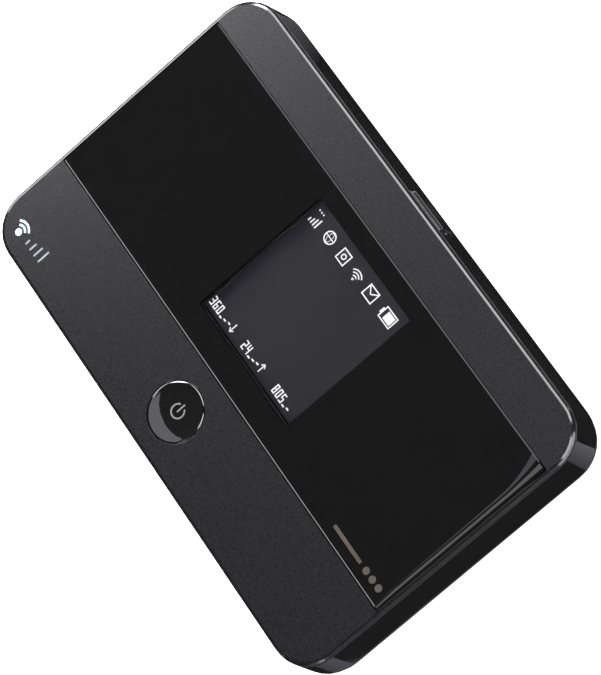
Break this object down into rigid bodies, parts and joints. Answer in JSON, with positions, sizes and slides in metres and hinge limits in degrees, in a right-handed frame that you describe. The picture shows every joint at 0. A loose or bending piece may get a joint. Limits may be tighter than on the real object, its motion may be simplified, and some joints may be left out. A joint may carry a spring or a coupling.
{
  "type": "mobile hotspot",
  "caption": "Pocket mobile hotspot: rounded black case with a glossy screen window, round power button, side menu key, socket, battery, card slots and lift-off back cover.",
  "frame": {"origin": "centre of the flat base of the back cover, which it rests on", "axes": "+X along the length, in the reading direction of the screen; +Y towards the long side with the menu key; +Z out of the screen"},
  "size_m": [0.1064, 0.0663, 0.0159],
  "materials": {
    "front_plastic": "fine satin grain, dark graphite",
    "gloss_black": "high gloss",
    "cover_plastic": "fine matte texture",
    "foam": "dull",
    "dark_plastic": "moulded",
    "light_plastic": "moulded",
    "screen": "dark polarised glass",
    "steel": "pressed and plated",
    "flex": "amber film",
    "circuit_board": "solder mask",
    "ceramic_parts": "fired ceramic with tinned ends",
    "card_white": "smooth card plastic",
    "contacts": "gold plated",
    "battery_wrap": "satin wrap"
  },
  "bodies": {
    "back_cover": {"back_cover": "cover_plastic"},
    "device": {"front_shell": "front_plastic", "display_window": "gloss_black", "window_tape": "foam", "power_switch": "dark_plastic", "menu_switch": "dark_plastic", "screen_gasket": "foam", "screen_panel": "screen", "screen_backlight": "light_plastic", "screen_frame": "steel", "screen_flex": "flex", "mid_frame": "gloss_black", "main_board": "circuit_board", "modem_shield": "steel", "radio_shield": "steel", "modem_chip": "dark_plastic", "memory_chip": "dark_plastic", "radio_chip": "dark_plastic", "power_chip": "dark_plastic", "board_passives": "ceramic_parts", "usb_socket": "steel", "usb_tongue": "dark_plastic", "sim_holder": "steel", "card_holder": "steel", "battery_contacts": "contacts", "main_antenna": "flex", "diversity_antenna": "flex", "wifi_antenna": "flex", "case_screws": "steel", "board_screws": "steel"},
    "battery": {"battery_cell": "battery_wrap", "battery_header": "dark_plastic"},
    "power_button": {"power_button": "gloss_black", "power_plunger": "light_plastic"},
    "menu_key": {"menu_key": "gloss_black", "menu_plunger": "light_plastic"},
    "sim_card": {"sim_card": "card_white"},
    "memory_card": {"memory_card": "dark_plastic"}
  },
  "joints": [
    {"name": "cover_release", "type": "slide", "parent": "back_cover", "child": "device", "axis": [0, 0, 1], "range_m": [0, 0.028]},
    {"name": "battery_release", "type": "slide", "parent": "back_cover", "child": "battery", "axis": [0, 0, 1], "range_m": [0, 0.014]},
    {"name": "power_press", "type": "slide", "parent": "device", "child": "power_button", "axis": [0, 0, -1], "range_m": [0, 0.0004], "stiffness_N_per_m": 400, "springref_m": -0.0005},
    {"name": "menu_press", "type": "slide", "parent": "device", "child": "menu_key", "axis": [0, -1, 0], "range_m": [0, 0.0004], "stiffness_N_per_m": 400, "springref_m": -0.0005},
    {"name": "sim_slide", "type": "slide", "parent": "device", "child": "sim_card", "axis": [0, -1, 0], "range_m": [0, 0.012]},
    {"name": "memory_card_slide", "type": "slide", "parent": "device", "child": "memory_card", "axis": [0, -1, 0], "range_m": [0, 0.01]}
  ],
  "couplings": [
    {"joint": "battery_release", "follows": "cover_release", "ratio": 0.5}
  ]
}
